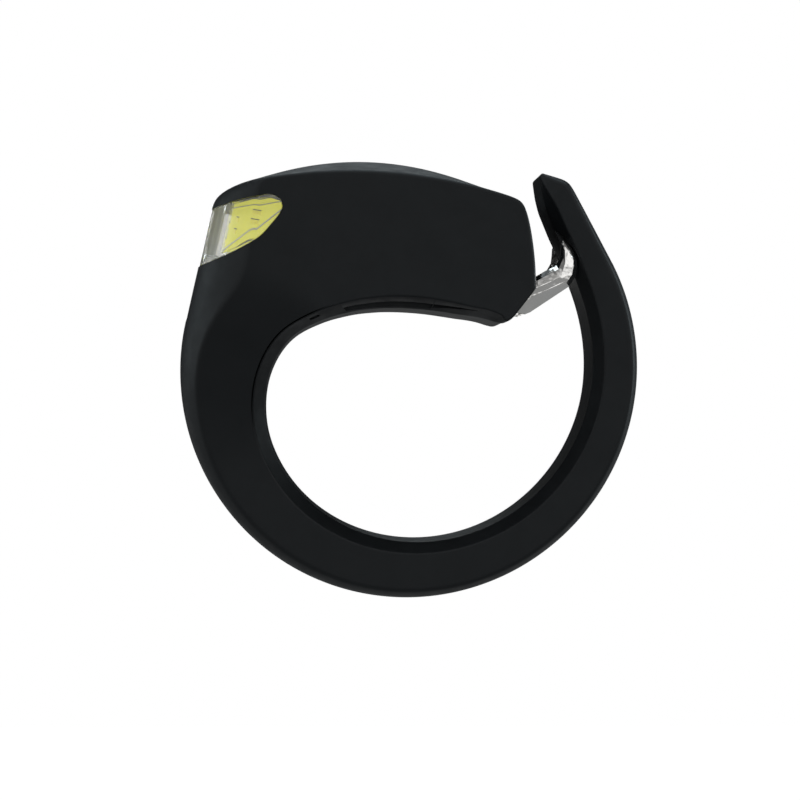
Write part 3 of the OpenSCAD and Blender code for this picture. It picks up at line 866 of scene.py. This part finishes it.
# x, z and depth below the claw's outer plane, clockwise from the tip: outline, facet edges, creases
CLAW_EDGE = [(10.36, 13.84, 0.3), (11, 13.27, 0.45), (11.38, 12.46, 0.45), (11.43, 11.9, 0.45),
             (11.3, 11.16, 0.45), (10.83, 10.4, 0.5), (9.2, 9.32, 0.5), (7.9, 8.46, 0.5), (7.55, 8.32, 0.45),
             (7, 8.4, 0.45), (6.2, 8.8, 0.4)] + arc_points(BARREL_R, 0.35) + [
             (6.2, 11, 0.35), (7.2, 11, 0.4), (8.3, 11.13, 0.4), (9.85, 11.98, 0.4), (10.15, 12.5, 0.36),
             (10.22, 13.1, 0.32), (10.25, 13.6, 0.3)]
CLAW_FACET = [(10.48, 13.4, 0.1), (10.78, 13.05, 0.14), (11.08, 12.42, 0.12), (11.14, 11.92, 0.05),
              (11.02, 11.28, 0.05), (10.6, 10.66, 0.08), (9.05, 9.98, 0.1), (8, 9.75, 0.1), (7.6, 9, 0.12),
              (7, 9.1, 0.12), (6.45, 9.2, 0.1)] + arc_points(0.75, 0.1) + [
              (6.2, 10.65, 0.1), (7.1, 10.7, 0.1), (8.35, 10.78, 0.1), (10.02, 11.7, 0.05),
              (10.38, 12.5, 0.05), (10.4, 13, 0.04), (10.4, 13.3, 0.05)]
CLAW_CREASE = [(7.2, 9.95, 0), (8.4, 10.3, 0), (10.18, 11.12, 0), (10.5, 12.1, 0), (10.5, 13.1, 0)]
WEB = [(6.2, 10.9), (7.3, 10.9), (8.9, 11.2), (9.4, 10.7), (9, 10), (7.7, 9), (6.2, 8.9)]
# x, z, half length, half width and turn of the ovals pressed into each claw
CLAW_OVALS = ((10.94, 12.1, 0.5, 0.18, 80), (10.53, 11.27, 0.4, 0.1, 35))
# ends and width of the fine grooves along each claw
CLAW_GROOVES = (((8, 10.95), (9.7, 11.6), 0.1), ((8, 10.15), (9.85, 10.95), 0.05),
                ((7.6, 9.55), (9.3, 10.2), 0.09), ((9.2, 10.17), (10.5, 10.78), 0.06))


def tapered_line(start, end, wide):
    """A thin outline from one point to another, widest in the middle."""
    start, end = np.array(start), np.array(end)
    along = end - start
    off = left_of(along) * wide / 2
    return [start, start + along * 0.3 - off, start + along * 0.7 - off, end,
            start + along * 0.7 + off, start + along * 0.3 + off]


def oval_outline(x, z, long, wide, turn):
    """A turned oval in the side view."""
    made = []
    for t in np.linspace(0, 360, 33)[:-1]:
        u, v = long * cosd(t), wide * sind(t)
        made.append((x + u * cosd(turn) - v * sind(turn), z + u * sind(turn) + v * cosd(turn)))
    return made


def claw(side):
    """One faceted claw."""
    def point(p, depth):
        return (p[0], side * (HOOK_HALF - depth), p[1])

    n = len(CLAW_EDGE)
    points = [point(p, p[2]) for p in CLAW_EDGE]
    points += [point(p, HOOK_HALF - CLAW_IN) for p in CLAW_EDGE]
    points += [point(p, p[2]) for p in CLAW_FACET + CLAW_CREASE]
    faces = [tuple(range(n, 2 * n))]
    for k in range(n):
        j = (k + 1) % n
        faces += [(k, j, n + j, n + k), (k, j, 2 * n + j, 2 * n + k)]
    flat_points = [Vector(p[:2]) for p in CLAW_FACET + CLAW_CREASE]
    edges = [(k, (k + 1) % n) for k in range(n)] + [(n + k, n + k + 1) for k in range(len(CLAW_CREASE) - 1)]
    made = delaunay_2d_cdt(flat_points, edges, [], 1, 1e-6)
    for triangle in made[2]:
        faces.append(tuple(2 * n + made[3][k][0] for k in triangle))
    obj = new_object("claw", points, faces)
    near, far = sorted((side * (HOOK_HALF - MARK_LOW), side * (HOOK_HALF + CLEAR)))
    for oval in CLAW_OVALS:
        cut(obj, prism("oval", oval_outline(*oval), near, far))
    for start, end, wide in CLAW_GROOVES:
        cut(obj, prism("groove", tapered_line(start, end, wide), near, far))
    return bevel(obj, 0.02, 2, 14)


def hook():
    """Two claws on a barrel, with a web between them."""
    obj = claw(-1)
    combine(obj, claw(1), "UNION")
    web = bevel(prism("web", WEB, -CLAW_IN - 0.1, CLAW_IN + 0.1), 0.05)
    combine(obj, web, "UNION")
    combine(obj, rod("barrel", *PIVOT, BARREL_R, -BARREL_HALF, BARREL_HALF, 64), "UNION")
    cut(obj, rod("bore", *PIVOT, BORE_R, -HALF_W, HALF_W))
    obj.name = "fork_hook"
    smooth(obj, 9)
    finish_piece(obj, "hook_chrome", "hook")
    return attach(obj, "hook")


# ---- Button and flap ----
def button_pad():
    """Soft pad that carries on the crown's curve."""
    obj = skin("button_skin", rings(*PAD_A, 1))
    combine(obj, plan_prism("oval", button_outline(0), PAD_LOW, ABOVE), "INTERSECT")
    smooth(bevel(obj, 0.12, 3))
    finish_piece(obj, "silicone", "button_pad")
    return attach(obj, "button")


def port_flap():
    """Rubber flap over the charging socket, level with the side."""
    obj = prism("port_flap_skin", flap_outline(0), HALF_W - FLAP_THICK, HALF_W)
    smooth(bevel(obj, 0.12, 3))
    finish_piece(obj, "silicone", "port_flap")
    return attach(obj, "flap")


# ---- Camera, light and floor, in mm ----
EYE = (-9, -367, 2.4)
AIM = (-1.875, -7, 1.875)
LENS_MM, SENSOR_MM = 216, 36
FLOOR_Z = -58               # just clear of the strap when it is swung right down
FLOOR_HALF = 500
FRONT_LEVEL = 0.63          # how bright the room is on the camera's side
BACK_LEVEL = 0.05           # and behind the object
GLASS_LEVEL = 0.6           # how bright the room looks through the lens
FLOOR_LEVEL = 0.17          # how much the floor lights the object
FLOOR_WHITE = 0.95          # how bright it looks to the camera


def camera():
    """The photo's view: straight from the side, from far off, a little forward of the middle."""
    data = bpy.data.cameras.new("camera")
    data.lens = LENS_MM
    data.sensor_width = SENSOR_MM
    data.clip_start, data.clip_end = 0.01, 20
    obj = bpy.data.objects.new("camera", data)
    bpy.context.scene.collection.objects.link(obj)
    obj.location = Vector(EYE) * MM
    aim = Vector(AIM) * MM - obj.location
    obj.rotation_mode = "QUATERNION"
    obj.rotation_quaternion = aim.to_track_quat("-Z", "Y")
    bpy.context.scene.camera = obj


def softbox(name, place_mm, size_mm, power, color=(1, 1, 1)):
    """A soft area light that faces the object."""
    data = bpy.data.lights.new(name, "AREA")
    data.shape = "RECTANGLE"
    data.size, data.size_y = (s * MM for s in size_mm)
    data.energy = power
    data.color = color
    obj = bpy.data.objects.new(name, data)
    bpy.context.scene.collection.objects.link(obj)
    obj.location = Vector(place_mm) * MM
    obj.rotation_mode = "QUATERNION"
    obj.rotation_quaternion = (-obj.location).to_track_quat("-Z", "Y")
    obj.visible_camera = False


def math_node(nodes, links, operation, one, two):
    """A sum worked out by the shader; each value is a number or another node's output."""
    node = nodes.new("ShaderNodeMath")
    node.operation = operation
    for socket, value in zip(node.inputs, (one, two)):
        if isinstance(value, (int, float)):
            socket.default_value = value
        else:
            links.new(value, socket)
    return node.outputs["Value"]


def floor():
    """White to the camera, and dim where it lights the object."""
    corners = [(x * FLOOR_HALF, y * FLOOR_HALF, FLOOR_Z) for x, y in ((-1, -1), (1, -1), (1, 1), (-1, 1))]
    obj = new_object("floor", corners, [(0, 1, 2, 3)])
    m = material("pale_floor", (0.12, 0.12, 0.12), 0.7, Emission_Color=(1, 1, 1, 1))
    nodes, links = m.node_tree.nodes, m.node_tree.links
    path = nodes.new("ShaderNodeLightPath")
    glow = math_node(nodes, links, "MULTIPLY", path.outputs["Is Camera Ray"], FLOOR_WHITE)
    feed(m, math_node(nodes, links, "MAXIMUM", glow, FLOOR_LEVEL), "Emission Strength")
    obj.data.materials.append(m)


def world():
    """White to the camera, pale through the lens, and darker behind the object where it lights it."""
    scene = bpy.context.scene
    scene.world = bpy.data.worlds.new("world")
    scene.world.use_nodes = True
    tree = scene.world.node_tree
    nodes, links = tree.nodes, tree.links
    background = nodes["Background"]
    path = nodes.new("ShaderNodeLightPath")
    where = nodes.new("ShaderNodeTexCoord")
    split = nodes.new("ShaderNodeSeparateXYZ")
    links.new(where.outputs["Generated"], split.inputs["Vector"])
    level = map_range(tree, split.outputs["Y"], (-0.7, 0.5), (FRONT_LEVEL, BACK_LEVEL))
    level.interpolation_type = "SMOOTHSTEP"
    through = math_node(nodes, links, "GREATER_THAN", path.outputs["Transmission Depth"], 0.5)
    glass = math_node(nodes, links, "MULTIPLY", through, GLASS_LEVEL)
    panels = nodes.new("ShaderNodeTexNoise")
    panels.inputs["Scale"].default_value = 2.2
    panels.inputs["Detail"].default_value = 1
    links.new(where.outputs["Generated"], panels.inputs["Vector"])
    bright = map_range(tree, panels.outputs["Fac"], (0.4, 0.6), (0.25, 1.75))
    room = math_node(nodes, links, "MULTIPLY", level.outputs["Result"], bright.outputs["Result"])
    strength = math_node(nodes, links, "MAXIMUM", room, glass)
    strength = math_node(nodes, links, "MAXIMUM", strength, path.outputs["Is Camera Ray"])
    links.new(strength, background.inputs["Strength"])
    background.inputs["Color"].default_value = (1, 1, 1, 1)
    scene.view_settings.view_transform = "Standard"


# ---- Build ----
dress_cad_nodes()
jacket()
strap_bends()
strap_head()
lens()
light_layers()
led_dies()
dam("upper_dam", (-14.3, 16.15), (-10.8, 16.68), 0.07)
dam("lower_dam", (-15.1, 12.8), (-10.8, 16.06), 0.09)
hook()
button_pad()
port_flap()
camera()
floor()
world()
softbox("top", (0, 60, 420), (500, 400), 0.9, (0.82, 0.94, 1))
softbox("back_top", (0, 420, 230), (160, 160), 0.07, (0.86, 0.96, 1))
softbox("left", (-450, 150, 60), (300, 400), 0.35, (0.86, 0.96, 1))
softbox("right", (450, 150, 60), (300, 400), 0.8, (0.86, 0.96, 1))
